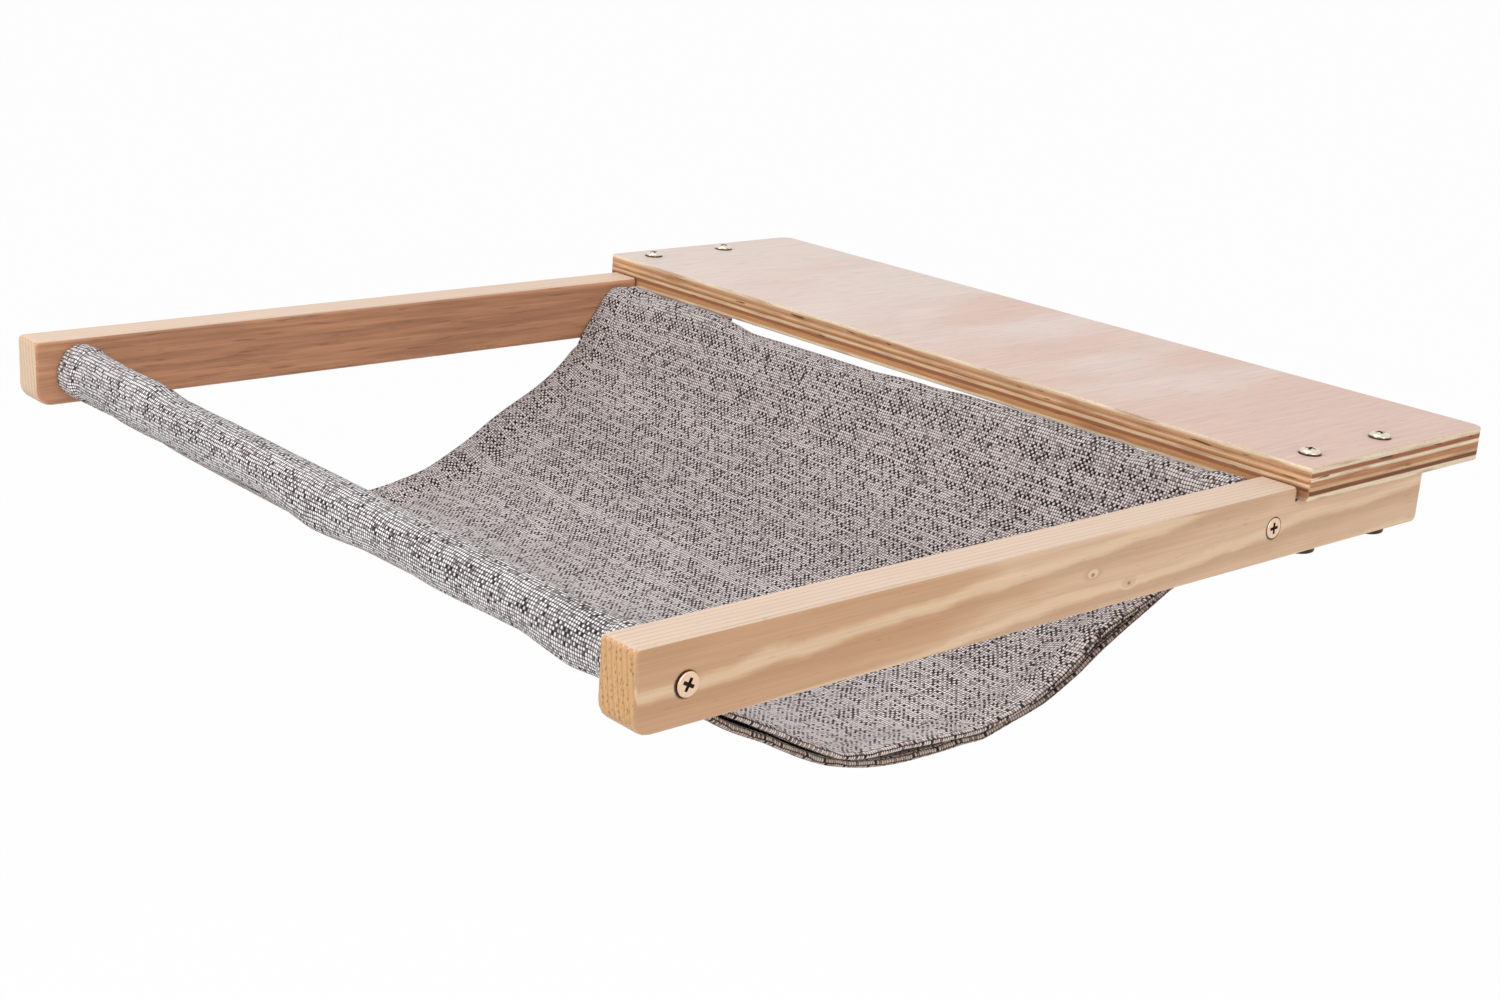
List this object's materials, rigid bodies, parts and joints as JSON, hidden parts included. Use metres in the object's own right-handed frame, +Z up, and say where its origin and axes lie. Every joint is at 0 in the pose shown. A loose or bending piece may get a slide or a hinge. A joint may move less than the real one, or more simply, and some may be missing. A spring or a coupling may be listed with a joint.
{
  "type": "wall-mounted cat hammock",
  "caption": "Cloth sling hung on round rods between wooden side rails that are bolted under a plywood shelf, made to stand out from a wall.",
  "frame": {"origin": "centre of the shelf's rear edge face, half way along the shelf and half way through its thickness", "axes": "+X to the right along the shelf, +Y towards the wall, +Z up"},
  "size_m": [0.6, 0.6135, 0.1367],
  "materials": {
    "left_rail_pine": "smooth planed pine, reddish brown side",
    "right_rail_pine": "smooth planed pine, honey colour with pale grain",
    "plywood": "sanded plywood, pinkish face veneer, striped edge",
    "rod_wood": "plain round rod, hidden in the sleeve",
    "yellow_zinc_screw": "yellow zinc plated steel, slightly worn",
    "zinc_bolt": "bright zinc plated steel with a faint yellow tint",
    "dark_steel_nut": "dark bronze plated steel",
    "sleeve_cloth": "coarse plain weave, grey melange",
    "sling_cloth": "coarse plain weave, grey melange"
  },
  "bodies": {
    "root": {"left_side_rail": "left_rail_pine", "right_side_rail": "right_rail_pine", "shelf_board": "plywood", "front_rod": "rod_wood", "rear_rod": "rod_wood", "rod_screw_front_left": "yellow_zinc_screw", "rod_screw_front_right": "yellow_zinc_screw", "rod_screw_rear_left": "yellow_zinc_screw", "rod_screw_rear_right": "yellow_zinc_screw", "shelf_bolt_front_left": "zinc_bolt", "shelf_bolt_front_right": "zinc_bolt", "shelf_bolt_rear_left": "zinc_bolt", "shelf_bolt_rear_right": "zinc_bolt", "shelf_nut_front_left": "dark_steel_nut", "shelf_nut_front_right": "dark_steel_nut", "shelf_nut_rear_left": "dark_steel_nut", "shelf_nut_rear_right": "dark_steel_nut", "front_sleeve": "sleeve_cloth", "rear_sleeve": "sleeve_cloth", "sling_upper_layer": "sling_cloth", "sling_lower_layer": "sling_cloth"}
  },
  "joints": []
}
